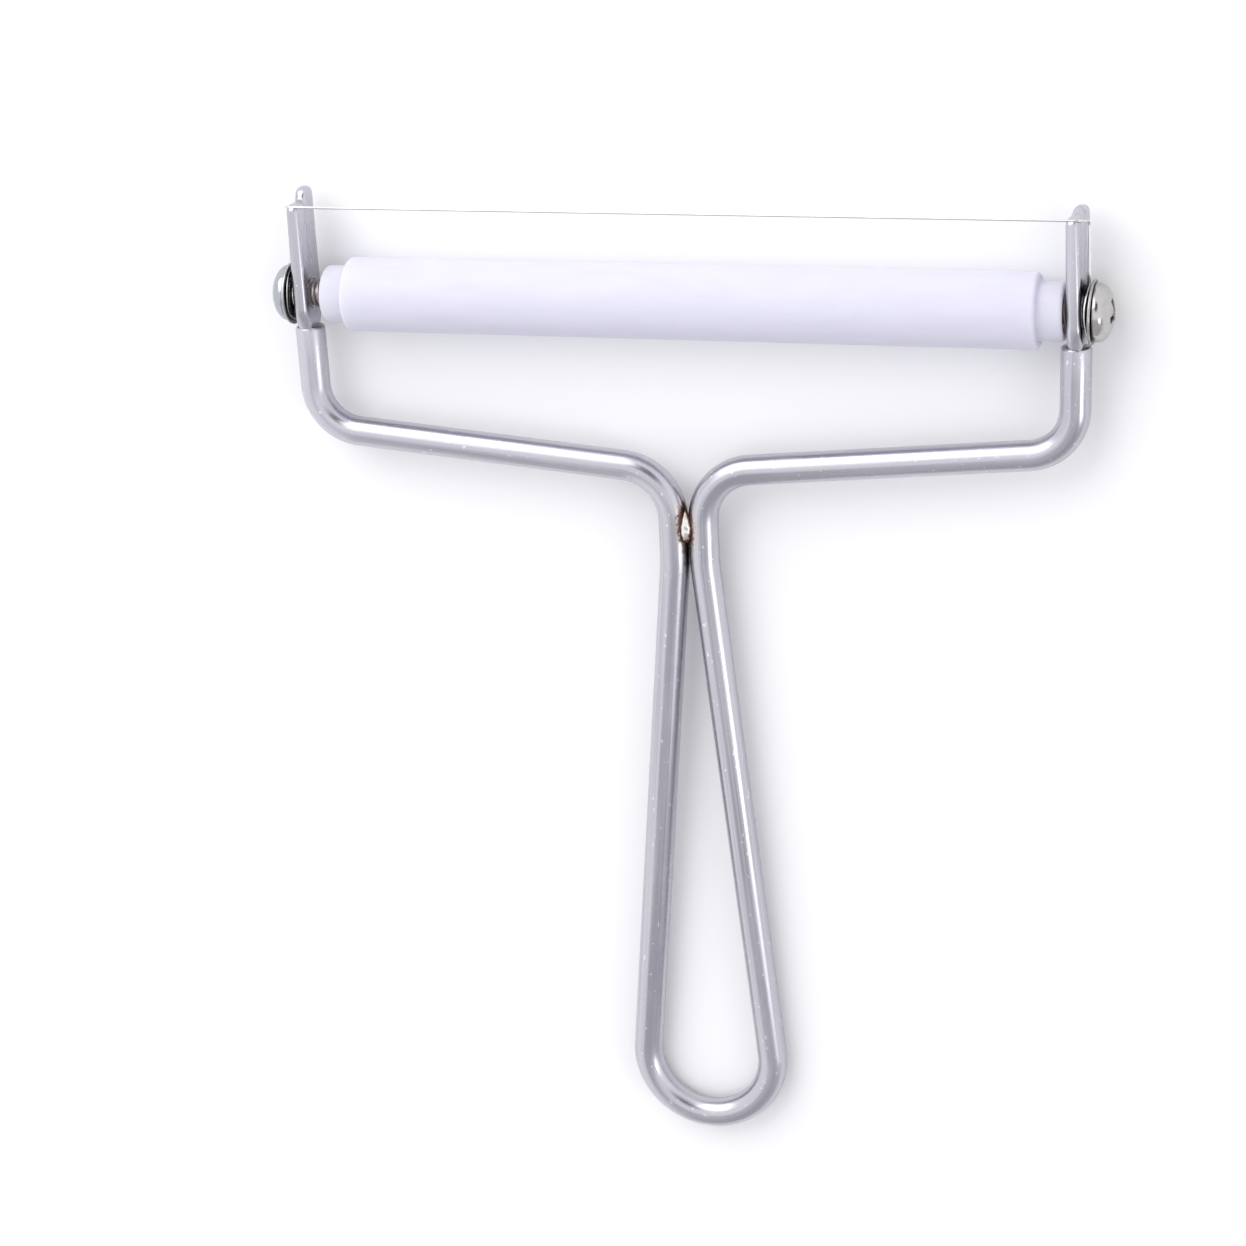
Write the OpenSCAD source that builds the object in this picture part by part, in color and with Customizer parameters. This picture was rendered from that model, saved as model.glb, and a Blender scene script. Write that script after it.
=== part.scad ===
// Cheese wire cutter: a hand tool bent from one round steel rod, with a taut
// cutting wire across its two pressed tips and a plastic gauge roller on two
// screws below the wire.
//
// Millimetres. The tool lies on its back, as it is put down on a worktop.
// +X runs along the roller, +Y from the handle to the wire and +Z is up.
// The origin is at the middle of the bounding box, on the worktop.
//
// Each piece is drawn flat, in the tool's own plane: x along the roller,
// y from the roller's axis towards the wire, z square to the plane. lay_down()
// then tips the tool about the roller's axis until the handle's end touches.

/* [Rod] */
// Diameter of the steel rod
rod_d = 5; // [4.5:0.1:5.5]
// Distance between the two posts at the roller's axis
span = 129; // [110:1:150]
// From the roller's axis down to the corner where post and branch meet
post_drop = 22.9; // [20:0.1:30]
// How far each post leans outwards, in degrees
post_lean = 1.2; // [0:0.1:3]
// How far each branch falls from its post to the neck, in degrees
branch_fall = 5.2; // [2:0.1:8]
// Bend radius between post and branch, at the rod's middle
corner_r = 8; // [6:0.5:10]
// Bend radius between branch and neck, at the rod's middle
neck_r = 9; // [7:0.5:10]
// Gap between the two rods at the neck
neck_gap = 0.1; // [0.05:0.05:0.3]

/* [Handle] */
// From the roller's axis down to the middle of the rod at the handle's end
handle_reach = 144.7; // [125:0.1:160]
// From the roller's axis down to where the two rods part
handle_start = 44; // [42:0.5:50]
// How far each side of the loop leans outwards, in degrees
handle_splay = 5.5; // [4:0.1:7]
// Bend radius where the two rods part
splay_r = 30; // [20:1:40]

/* [Pressed tips] */
// Thickness of the pressed part of the rod
tip_t = 2.5; // [2:0.1:3]
// Width of the pressed part of the rod
tip_w = 7.8; // [7:0.1:9]
// From the roller's axis up to the ledge that carries the wire
ledge_y = 15.6; // [14:0.1:18]
// From the roller's axis up to the end of the left tongue
tongue_y = 17.6; // [17:0.1:20]
// How much lower the right tongue ends
right_lower = 1.1; // [0:0.1:1.1]
// Width of the tongue beside the ledge
tongue_w = 3.5; // [2.5:0.1:4]
// From the roller's axis down to the step where pressing starts
press_drop = 5.3; // [5.3:0.1:7]

/* [Wire] */
// Diameter of the cutting wire
wire_d = 0.45; // [0.3:0.05:0.6]
// Distance of the wire in front of the tool's middle plane
wire_z = 3.45; // [3:0.05:3.5]

/* [Roller] */
// Diameter of the roller
roller_d = 12.2; // [11:0.1:14]
// Length of the roller between its shoulders
roller_len = 115.3; // [110:0.1:116]
// Diameter of the stepped ends
spigot_d = 9.4; // [8.5:0.1:10]
// Length of each stepped end
spigot_len = 4.1; // [3:0.1:4.2]
// Gap between the roller's right end and the right tip
end_play = 0.5; // [0.3:0.1:2]
// Radial clearance between a screw and the roller's bore
running_gap = 0.1; // [0.02:0.01:0.1]
// Diameter of the countersink at the bore's mouth
mouth_d = 7.2; // [6:0.1:8]

/* [Screws and washers] */
// Outside diameter of the screw's thread
screw_d = 4.9; // [4.8:0.05:5]
// Length of the screw under its head
screw_len = 16; // [12:1:20]
// Diameter of the screw's head
head_d = 9.4; // [9:0.1:10]
// Height of the screw's head
head_h = 3; // [2.6:0.1:3.7]
// Depth of the cross recess
recess_depth = 1.8; // [1:0.1:2.2]
// Outside diameter of the flat washer
washer_d = 10.4; // [9.5:0.1:11]
// Outside diameter of the wave washer
wave_d = 9; // [8:0.1:9.5]
// Thickness of the flat washer
washer_t = 0.4; // [0.3:0.05:0.6]
// Tilt of the right flat washer, in degrees
washer_tilt = 2; // [0:0.1:2]

/* [Hidden] */
$fn = 96;
touch = 0.02;                                    // gap where two pieces meet lightly
lap = 0.02;                                      // overrun of a straight into its bend
bend_d = rod_d - 0.02;                           // bending draws the rod a little thinner
sink = 1;                                        // overrun of a cut past a surface

post_x = span / 2;                               // rod's middle at the roller's axis
tip_in = post_x - tip_t / 2;                     // inner face of a pressed tip
tip_out = post_x + tip_t / 2;                    // outer face of a pressed tip
corner = [post_x - post_drop * tan(post_lean), -post_drop];
neck_x = (rod_d + neck_gap) / 2;
neck = [neck_x, corner.y - (corner.x - neck_x) * tan(branch_fall)];
part_point = [neck_x, -handle_start];

// The loop's end is an arc that touches both leaning sides and the reach.
loop_r = ((handle_reach - handle_start) * tan(handle_splay) + neck_x)
         / (1 / cos(handle_splay) + tan(handle_splay));
loop_y = loop_r - handle_reach;
loop_point = [loop_r * cos(handle_splay), loop_y + loop_r * sin(handle_splay)];

// The wire's end loops lie between the tip and the washers.
wire_out = tip_out + wire_d / 2 + touch;         // wire's middle on the outer face
wire_y = ledge_y - wire_d / 2 - 0.18;
loop_wire_r = screw_d / 2 + wire_d / 2 + 0.05;
wave_in = wire_out + wire_d / 2 + touch;
wave_t = 0.22;
wave_rise = 0.1;                                 // half the height of the waves
flat_in = wave_in + wave_t + 2 * wave_rise + touch;
tilt_room = washer_d * sin(washer_tilt);
left_head = flat_in + washer_t + touch;
right_head = left_head + tilt_room;
hole_d = 5.3;                                    // hole in both kinds of washer

bore_d = screw_d + 2 * running_gap;
bore_depth = 22;
roller_right = tip_in - end_play;

tilt = asin((roller_d - rod_d) / 2 / handle_reach);
y_low = -handle_reach * cos(tilt) - rod_d / 2;
y_high = tongue_y * cos(tilt) + (tip_w - tongue_w) / 2 * sin(tilt);

steel = [0.74, 0.74, 0.78];
bright = [0.80, 0.78, 0.76];
dark = [0.55, 0.55, 0.57];
white = [0.93, 0.92, 0.98];
bead = [0.66, 0.58, 0.52];

module lay_down() {
    translate([0, -(y_low + y_high) / 2, roller_d / 2])
        rotate([tilt, 0, 0])
            children();
}

// side = 1 draws the right-hand piece and -1 the left-hand one.
module on_side(side) {
    if (side > 0) children();
    else mirror([1, 0, 0]) children();
}

// Puts a shape drawn up the z axis along +x, starting at x.
module along_x(x) {
    translate([x, 0, 0]) rotate([0, 90, 0]) children();
}

function unit(v) = v / norm(v);
function turn(a, b, c) =
    acos(max(-1, min(1, unit(b - a) * unit(c - b))));
// How far before a corner its bend starts
function setback(a, b, c, r) = r * tan(turn(a, b, c) / 2);
function cross_z(a, b) = a.x * b.y - a.y * b.x;

// A straight stretch of rod from a to b, in the tool's plane.
module straight(a, b) {
    v = b - a;
    translate([a.x, a.y, 0])
        rotate([0, 0, atan2(v.y, v.x)])
            along_x(-lap) cylinder(h = norm(v) + 2 * lap, d = rod_d);
}

// A bend of radius r at corner b, between the directions a-b and b-c.
module bend(a, b, c, r) {
    t = turn(a, b, c);
    way = cross_z(b - a, c - b) > 0 ? 1 : -1;
    start = b - unit(b - a) * r * tan(t / 2);
    side = [-unit(b - a).y, unit(b - a).x] * way;
    centre = start + side * r;
    from = atan2(-side.y, -side.x);
    translate([centre.x, centre.y, 0])
        rotate([0, 0, way > 0 ? from : from - t])
            rotate_extrude(angle = t)
                translate([r, 0]) circle(d = bend_d);
}

// The right half of the bent rod, from under its tip to the loop's end.
module half_rod() {
    top = [corner.x + (post_drop - press_drop) * tan(post_lean), -press_drop];
    s1 = setback(top, corner, neck, corner_r);
    s2 = setback(corner, neck, part_point, neck_r);
    s3 = setback(neck, part_point, loop_point, splay_r);
    d1 = unit(corner - top);
    d2 = unit(neck - corner);
    d3 = unit(part_point - neck);
    d4 = unit(loop_point - part_point);
    straight(top, corner - d1 * s1);
    bend(top, corner, neck, corner_r);
    straight(corner + d2 * s1, neck - d2 * s2);
    bend(corner, neck, part_point, neck_r);
    straight(neck + d3 * s2, part_point - d3 * s3);
    bend(neck, part_point, loop_point, splay_r);
    straight(part_point + d4 * s3, loop_point);
}

// The round end of the handle's loop.
module loop_end() {
    translate([0, loop_y, 0])
        rotate([0, 0, -180 - handle_splay])
            rotate_extrude(angle = 180 + 2 * handle_splay)
                translate([loop_r, 0]) circle(d = bend_d);
}

// Outline of a pressed tip seen along the roller: u is y and v is z. Its tongue ends at top.
module tip_outline(top) {
    half = tip_w / 2;
    root = rod_d * 0.42;                         // half width where it leaves the rod
    low = -press_drop - root / 2;
    full = -press_drop + root;
    polygon([[low, -root], [full, -half], [full, half], [low, root]]);
    translate([full - lap, -half]) square([ledge_y - full + lap, tip_w]);
    translate([ledge_y - sink, -half])
        square([top - ledge_y + sink - tongue_w / 2, tongue_w]);
    translate([top - tongue_w / 2, tongue_w / 2 - half]) circle(d = tongue_w);
}

// A pressed tip: a flat bar with full round edges, cut to the outline.
module pressed_tip(top) {
    edge = (tip_w - tip_t) / 2;
    difference() {
        intersection() {
            translate([post_x - tip_t, 0, 0])
                rotate([90, 0, 90])
                    linear_extrude(height = 2 * tip_t) tip_outline(top);
            translate([post_x, -press_drop - rod_d, 0])
                rotate([-90, 0, 0])
                    linear_extrude(height = top + press_drop + 2 * rod_d) {
                        square([tip_t, 2 * edge], center = true);
                        for (z = [-edge, edge]) translate([0, z]) circle(d = tip_t);
                    }
        }
        along_x(tip_in - sink) cylinder(h = tip_t + 2 * sink, d = screw_d);
        // notch that keeps the wire in place
        translate([tip_in - sink, wire_y - wire_d / 2 - touch, wire_z - wire_d / 2 - touch])
            cube([tip_t + 2 * sink, ledge_y, wire_d + 2 * touch]);
    }
}

module rod_frame() {
    color(steel)
        lay_down() {
            loop_end();
            for (side = [-1, 1])
                on_side(side) {
                    half_rod();
                    pressed_tip(tongue_y - (side > 0 ? right_lower : 0));
                }
        }
}

// A weld bead in the groove between the two rods, where they first touch.
module neck_weld() {
    bead_r = 1.15;
    bead_len = 3.6;
    bead_up = 2;                                 // top of the bead above the parallel rods
    bead_z = 1.5;
    color(bead)
        lay_down()
            difference() {
                translate([0, neck.y - neck_r + bead_up, bead_z]) {
                    rotate([90, 0, 0]) cylinder(h = bead_len, r = bead_r);
                    sphere(r = bead_r);
                    translate([0, -bead_len, 0]) sphere(r = bead_r);
                }
                for (side = [-1, 1]) on_side(side) half_rod();
            }
}

module roller() {
    chamfer = 0.5;
    spin_x = roller_right - roller_len - 2 * spigot_len;
    total = roller_len + 2 * spigot_len;
    r = roller_d / 2;
    rs = spigot_d / 2;
    rb = bore_d / 2;
    rm = mouth_d / 2;
    mouth = rm - rb;
    color(white)
        lay_down()
            along_x(spin_x)
                difference() {
                    rotate_extrude()
                        polygon([[0, 0], [rs - chamfer, 0], [rs, chamfer],
                                 [rs, spigot_len], [r - chamfer, spigot_len],
                                 [r, spigot_len + chamfer],
                                 [r, total - spigot_len - chamfer],
                                 [r - chamfer, total - spigot_len],
                                 [rs, total - spigot_len], [rs, total - chamfer],
                                 [rs - chamfer, total], [0, total]]);
                    for (end = [0, 1])
                        translate([0, 0, end * total])
                            rotate([0, end * 180, 0])
                                rotate_extrude()
                                    polygon([[0, -sink], [rm + sink, -sink], [rb, mouth],
                                             [rb, bore_depth], [0, bore_depth + rb]]);
                }
}

// A pan head screw that points inwards, with its head's underside at x.
module screw(x) {
    dome_r = 7.6;
    rim = asin(head_d / 2 / dome_r);
    slot_w = 1.1;
    slot_len = 4.8;
    difference() {
        along_x(x)
            rotate_extrude()
                polygon([[0, -screw_len], [screw_d / 2 - 0.5, -screw_len],
                         [screw_d / 2, 0.5 - screw_len], [screw_d / 2, 0], [head_d / 2, 0],
                         for (i = [8:-1:0])
                             let (a = rim * i / 8)
                                 [dome_r * sin(a), head_h - dome_r * (1 - cos(a))]]);
        for (a = [20, 110])
            translate([x + head_h - recess_depth, 0, 0])
                rotate([a, 0, 0])
                    translate([0, -slot_len / 2, -slot_w / 2])
                        cube([recess_depth + sink, slot_len, slot_w]);
    }
}

module left_screw() {
    color(bright) lay_down() on_side(-1) screw(left_head);
}

module right_screw() {
    color(bright) lay_down() on_side(1) screw(right_head);
}

module flat_washer(tilt_angle) {
    translate([flat_in + washer_t / 2 + washer_d / 2 * sin(tilt_angle), 0, 0])
        rotate([0, 0, -tilt_angle])
            along_x(-washer_t / 2)
                difference() {
                    cylinder(h = washer_t, d = washer_d);
                    translate([0, 0, -sink]) cylinder(h = washer_t + 2 * sink, d = hole_d);
                }
}

module left_flat_washer() {
    color(dark) lay_down() on_side(-1) flat_washer(0);
}

module right_flat_washer() {
    color(dark) lay_down() on_side(1) flat_washer(washer_tilt);
}

// A thin spring washer whose face rises and falls three times a turn.
module wave_washer() {
    steps = 48;
    waves = 3;
    corners = [[hole_d / 2, 0], [wave_d / 2, 0], [wave_d / 2, wave_t], [hole_d / 2, wave_t]];
    points = [for (i = [0:steps - 1], c = corners)
        let (a = 360 * i / steps, rise = wave_rise * (1 + sin(waves * a)))
            [wave_in + rise + c[1], c[0] * cos(a), c[0] * sin(a)]];
    faces = [for (i = [0:steps - 1], k = [0:3])
        let (j = (i + 1) % steps, m = (k + 1) % 4)
            [4 * i + k, 4 * i + m, 4 * j + m, 4 * j + k]];
    split = [for (f = faces) each [[f[0], f[1], f[2]], [f[0], f[2], f[3]]]];
    polyhedron(points, split);
}

module left_wave_washer() {
    color(bright) lay_down() on_side(-1) wave_washer();
}

module right_wave_washer() {
    color(bright) lay_down() on_side(1) wave_washer();
}

// Points of a small round turn at corner b, cut back by s on both sides.
function eased(a, b, c, s) =
    let (p = b + unit(a - b) * s, q = b + unit(c - b) * s)
        [for (i = [0:4]) let (t = i / 4)
            (1 - t) * (1 - t) * p + 2 * t * (1 - t) * b + t * t * q];

// The right half of the wire's route: over the notch, back across the outer
// face, down to the screw and most of the way round it.
function wire_half() =
    let (mid = [0, wire_y, wire_z],
         over = [wire_out, wire_y, wire_z],
         back = [wire_out, wire_y - 1.3, -loop_wire_r],
         screw_side = [wire_out, 0, -loop_wire_r])
        concat(eased(mid, over, back, 0.5),
               eased(over, back, screw_side, 0.9),
               [for (a = [180:15:435])
                   [wire_out, loop_wire_r * sin(a), loop_wire_r * cos(a)]]);

function mirrored(path) =
    [for (i = [len(path) - 1:-1:0]) [-path[i].x, path[i].y, path[i].z]];

// Keeps a ring's reference direction square to the path's direction.
function carried(n, t) = unit(n - (n * t) * t);
function normals(dirs, n, i = 0) =
    i == len(dirs) ? [] :
        let (m = carried(n, dirs[i])) concat([m], normals(dirs, m, i + 1));

module swept_tube(path, r, sides) {
    last = len(path) - 1;
    dirs = [for (i = [0:last]) unit(path[min(i + 1, last)] - path[max(i - 1, 0)])];
    ref = normals(dirs, [1, 0.3, 0.2]);
    points = [for (i = [0:last], k = [0:sides - 1])
        let (a = 360 * k / sides)
            path[i] + r * (cos(a) * ref[i] + sin(a) * cross(dirs[i], ref[i]))];
    skin = [for (i = [0:last - 1], k = [0:sides - 1])
        let (m = (k + 1) % sides, a = i * sides, b = (i + 1) * sides)
            each [[a + k, b + k, b + m], [a + k, b + m, a + m]]];
    first_cap = [for (k = [0:sides - 1]) k];
    last_cap = [for (k = [sides - 1:-1:0]) last * sides + k];
    polyhedron(points, concat(skin, [first_cap], [last_cap]));
}

module cutting_wire() {
    color(bright)
        lay_down()
            swept_tube(concat(mirrored(wire_half()), wire_half()), wire_d / 2, 10);
}

rod_frame();
neck_weld();
roller();
cutting_wire();
left_screw();
right_screw();
left_flat_washer();
right_flat_washer();
left_wave_washer();
right_wave_washer();
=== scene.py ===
# %% [markdown]
# # A cheese wire cutter, piece by piece
#
# The real tool is one steel rod, bent into a handle and a fork, with a taut wire across the fork's
# pressed tips and a white roller under the wire. The roller sets how thick each slice is. Here each
# piece is made again in Blender, around a fixed CAD model of the same tool, and gets its finish.
#
# The first step is always the same: load the fixed frame and keep the box that it fills.

# %% Load the fixed frame
import math

import bmesh
import bpy
from mathutils import Matrix, Vector


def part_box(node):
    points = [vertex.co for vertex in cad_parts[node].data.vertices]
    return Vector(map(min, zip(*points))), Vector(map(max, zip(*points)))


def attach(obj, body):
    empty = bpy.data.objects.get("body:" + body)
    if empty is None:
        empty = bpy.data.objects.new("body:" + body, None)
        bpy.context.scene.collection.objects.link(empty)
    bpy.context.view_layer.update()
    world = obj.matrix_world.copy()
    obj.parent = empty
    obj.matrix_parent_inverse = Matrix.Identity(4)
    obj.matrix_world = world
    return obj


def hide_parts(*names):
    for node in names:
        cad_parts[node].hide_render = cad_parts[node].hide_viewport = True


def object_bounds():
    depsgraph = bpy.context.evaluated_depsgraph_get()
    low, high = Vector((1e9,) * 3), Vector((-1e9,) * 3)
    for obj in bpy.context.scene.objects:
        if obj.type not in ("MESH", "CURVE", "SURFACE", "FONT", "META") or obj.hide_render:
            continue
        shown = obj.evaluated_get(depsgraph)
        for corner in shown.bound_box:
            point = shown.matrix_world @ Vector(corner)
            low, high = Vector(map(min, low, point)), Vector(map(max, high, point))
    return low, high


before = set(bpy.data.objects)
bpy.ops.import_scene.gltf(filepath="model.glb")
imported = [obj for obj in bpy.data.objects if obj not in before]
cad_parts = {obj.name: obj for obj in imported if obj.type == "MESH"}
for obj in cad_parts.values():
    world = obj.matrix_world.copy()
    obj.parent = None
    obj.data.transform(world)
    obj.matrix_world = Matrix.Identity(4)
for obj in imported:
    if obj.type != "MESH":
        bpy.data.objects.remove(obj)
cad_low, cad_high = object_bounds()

scene = bpy.context.scene
print("CAD box, mm:", [round(side * 1000, 2) for side in cad_high - cad_low])

# %% [markdown]
# ## The tool's own plane
#
# The tool lies on its back on its roller and on the end of its handle. The roller is thicker than the
# rod, so the tool's plane is tipped by a degree and a half. It is far easier to build every piece flat,
# with x along the roller, y from the roller's axis towards the wire and z out of the plane, and to lay
# the finished piece down with one matrix. The roller's box gives the axis, so nothing is fitted by eye.
# Sizes are in millimetres times `MM`, which turns them into Blender's metres.

# %% Work out how the tool lies
MM = 0.001
ROD_R = 2.5 * MM
HANDLE_REACH = 144.7 * MM
roller_low, roller_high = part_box("roller")
roller_axis = (roller_low + roller_high) / 2
roller_axis.x = 0
roller_r = (roller_high.z - roller_low.z) / 2
tilt = math.asin((roller_r - ROD_R) / HANDLE_REACH)
LAY_DOWN = Matrix.Translation(roller_axis) @ Matrix.Rotation(tilt, 4, "X")
print("tilt, degrees:", round(math.degrees(tilt), 3), "roller radius, mm:", round(roller_r / MM, 3))

# %% [markdown]
# ## The camera
#
# A tool like this is shown from the front, a little from the right and from above, with a long lens, so
# that the rod keeps the same width from end to end. The camera is placed by two angles, a roll and a
# distance in the tool's own plane. Its axes are built from those angles, because a matrix made of three
# axes can't turn over the way that Euler angles can.

# %% Place the camera
AZIMUTH, ELEVATION, ROLL = math.radians(17.5787), math.radians(18.6161), math.radians(-2.7662)
DISTANCE = 580.35 * MM
LOOKS_AT = Vector((-12.16, -55.32, 0)) * MM
LENS, SENSOR = 100.19, 36
NEAREST, FARTHEST = 0.05, 20


def camera_matrix(azimuth, elevation, roll, distance, target):
    back = Vector((math.sin(azimuth) * math.cos(elevation), math.sin(elevation),
                   math.cos(azimuth) * math.cos(elevation)))
    level = Vector((0, 1, 0)).cross(back).normalized()
    upright = back.cross(level)
    right = level * math.cos(roll) + upright * math.sin(roll)
    up = upright * math.cos(roll) - level * math.sin(roll)
    turned_to = Matrix((right, up, back)).transposed().to_4x4()
    return LAY_DOWN @ Matrix.Translation(target + back * distance) @ turned_to


camera_data = bpy.data.cameras.new("camera")
camera_data.sensor_width, camera_data.lens = SENSOR, LENS
camera_data.clip_start, camera_data.clip_end = NEAREST, FARTHEST
camera = bpy.data.objects.new("camera", camera_data)
camera.matrix_world = camera_matrix(AZIMUTH, ELEVATION, ROLL, DISTANCE, LOOKS_AT)
scene.collection.objects.link(camera)
scene.camera = camera
print("camera at, m:", [round(c, 4) for c in camera.matrix_world.translation])

# %% [markdown]
# ## Helpers for finishes
#
# Every finish starts from the Principled shader. Scratches, rings and stains are noise that has been
# stretched, and a Map Range node says how much of it shows. Constants stay on the shader's own sockets.
# The studio's walls are mixed with the same few nodes, so the helpers come first.

# %% Define the finish helpers
class NodeTree:
    """Short ways to add and join the nodes of one tree."""

    def __init__(self, tree):
        self.tree = tree

    def node(self, kind, inputs=(), **settings):
        made = self.tree.nodes.new(kind)
        for name, value in settings.items():
            setattr(made, name, value)
        for socket, value in dict(inputs).items():
            if isinstance(value, bpy.types.NodeSocket):
                self.tree.links.new(value, made.inputs[socket])
            else:
                made.inputs[socket].default_value = value
        return made

    def stretched(self, where, scale, offset=(0, 0, 0)):
        """Coordinates in metres, stretched to so many grains a metre along each axis."""
        return self.node("ShaderNodeMapping", {"Vector": where, "Scale": scale,
                                               "Location": offset}).outputs[0]

    def noise(self, where, detail=2.0, roughness=0.5):
        return self.node("ShaderNodeTexNoise", {"Vector": where, "Scale": 1.0, "Detail": detail,
                                                "Roughness": roughness}).outputs["Fac"]

    def ranged(self, value, low, high, to_low, to_high):
        return self.node("ShaderNodeMapRange", {"Value": value, "From Min": low, "From Max": high,
                                                "To Min": to_low, "To Max": to_high}).outputs["Result"]

    def calc(self, operation, a, b=0):
        return self.node("ShaderNodeMath", {0: a, 1: b}, operation=operation).outputs[0]

    def sum(self, a, b):
        return self.calc("ADD", a, b)

    def product(self, a, b):
        return self.calc("MULTIPLY", a, b)

    def vector_math(self, operation, a, b=(0, 0, 0)):
        """A vector, or one number where the operation measures something."""
        made = self.node("ShaderNodeVectorMath", {0: a, 1: b}, operation=operation)
        return made.outputs["Value" if operation in ("DISTANCE", "DOT_PRODUCT", "LENGTH") else "Vector"]

    def mixed(self, factor, a, b):
        made = self.node("ShaderNodeMix", data_type="RGBA")
        for socket, value in ((0, factor), (6, a), (7, b)):
            if isinstance(value, bpy.types.NodeSocket):
                self.tree.links.new(value, made.inputs[socket])
            else:
                made.inputs[socket].default_value = value if socket == 0 else (*value, 1)
        return made.outputs[2]

    def bump(self, value, strength, depth, after=None):
        inputs = {"Height": value, "Strength": strength, "Distance": depth * MM}
        if after is not None:
            inputs["Normal"] = after
        return self.node("ShaderNodeBump", inputs).outputs[0]

    def place(self):
        return self.node("ShaderNodeTexCoord").outputs["Object"]

    def bar_line(self):
        """Coordinates from while the bar was still straight. See the bending machine below."""
        return self.node("ShaderNodeAttribute", attribute_name="bar_line").outputs["Vector"]

    def from_axis(self):
        """Distance from the roller's axis, which the screws and washers share."""
        flat = self.vector_math("MULTIPLY", self.place(), (0, 1, 1))
        return self.vector_math("DISTANCE", flat, (0, roller_axis.y, roller_axis.z))


class Finish(NodeTree):
    """A material whose nodes end in a Principled shader."""

    def __init__(self, name, color, metallic, roughness):
        self.material = bpy.data.materials.new(name)
        self.material.use_nodes = True
        super().__init__(self.material.node_tree)
        self.shader = self.tree.nodes["Principled BSDF"]
        self.shader.inputs["Base Color"].default_value = (*color, 1)
        self.shader.inputs["Metallic"].default_value = metallic
        self.shader.inputs["Roughness"].default_value = roughness

    def wear(self, color, roughness, normal):
        for socket, value in (("Base Color", color), ("Roughness", roughness), ("Normal", normal)):
            self.tree.links.new(value, self.shader.inputs[socket])


print("finishes ready")

# %% [markdown]
# ## Floor and light
#
# Polished steel has almost no colour of its own: it shows the room. So the room is designed for the rod.
# One wide soft panel stands beyond the wire and gives the white streak along the branches, and a narrow
# one on the right gives the streak down the posts. The walls are pale, apart from a grey curtain in front
# of the tool, which makes the grey side of each rod, and a dark gap between the two panels, which shows as
# a small dark mark where a bend faces it.

# %% Make the floor, two soft panels and the room
def soft_panel(name, away, size_x, size_y, brightness):
    panel = bpy.data.lights.new(name, "AREA")
    panel.shape = "RECTANGLE"
    panel.size, panel.size_y = size_x, size_y
    panel.energy = brightness * math.pi * size_x * size_y
    lamp = bpy.data.objects.new(name, panel)
    lamp.location = away
    lamp.rotation_euler = (-away).to_track_quat("-Z", "Y").to_euler()
    lamp.visible_camera = False
    scene.collection.objects.link(lamp)


PALE_WALL, GREY_CURTAIN, DARK_GAP = (0.95, 0.95, 0.98), (0.50, 0.50, 0.53), (0.05, 0.05, 0.055)
GAP_AT = Vector((0.20, 0.53, 0.82)).normalized()
ROOM_LIGHT = 1.22
FLOOR_HALF = 3
FLOOR_WHITE = (0.92, 0.92, 0.925)

# Each panel's place is in metres from the middle of the tool, and its last number is its brightness.
soft_panel("panel_beyond_wire", Vector((-0.38, 0.66, 0.58)), 0.78, 0.80, 1.9)
soft_panel("panel_right", Vector((0.78, -0.245, 0.52)), 0.22, 0.34, 3.2)

world = bpy.data.worlds.new("studio_walls")
world.use_nodes = True
scene.world = world
walls = NodeTree(world.node_tree)
direction = walls.node("ShaderNodeTexCoord").outputs["Generated"]
toward = walls.node("ShaderNodeSeparateXYZ", {0: direction}).outputs
curtain = walls.product(walls.ranged(toward["Y"], -0.20, -0.34, 0.0, 1.0),
                        walls.ranged(toward["X"], -0.52, -0.34, 0.0, 1.0))
gap = walls.ranged(walls.vector_math("DOT_PRODUCT", direction, GAP_AT), 0.93, 0.975, 0.0, 0.95)
tone = walls.mixed(gap, walls.mixed(curtain, PALE_WALL, GREY_CURTAIN), DARK_GAP)
studio_light = world.node_tree.nodes["Background"]
world.node_tree.links.new(tone, studio_light.inputs["Color"])
studio_light.inputs["Strength"].default_value = ROOM_LIGHT
scene.view_settings.view_transform = "Standard"

floor_bm = bmesh.new()
bmesh.ops.create_grid(floor_bm, x_segments=2, y_segments=2, size=FLOOR_HALF)
floor_mesh = bpy.data.meshes.new("floor")
floor_bm.to_mesh(floor_mesh)
floor_bm.free()
floor = bpy.data.objects.new("floor", floor_mesh)
floor.location.z = cad_low.z
scene.collection.objects.link(floor)
floor_paint = bpy.data.materials.new("floor_paint")
floor_paint.use_nodes = True
floor_shader = floor_paint.node_tree.nodes["Principled BSDF"]
floor_shader.inputs["Base Color"].default_value = (*FLOOR_WHITE, 1)
floor_shader.inputs["Roughness"].default_value = 0.8
floor_mesh.materials.append(floor_paint)

# %% [markdown]
# ## Helpers for shapes
#
# A few small helpers serve every piece. `finish_piece` lays a shape down, turns its faces outwards,
# shades it smooth except at real corners and ties it to its CAD body. `combined` joins or cuts closed
# shapes with a Boolean, which is what a drill or a file does to the real piece. `chain` strings points
# into a line, `round_corner` rounds one of them, and `turned` spins such a line about the x axis, as a
# lathe does.

# %% Define the shape helpers
def outwards(bm):
    """Turns every face outwards. Normals from before a flip are out of date, so they are renewed first."""
    bm.normal_update()
    bmesh.ops.recalc_face_normals(bm, faces=bm.faces)


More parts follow.
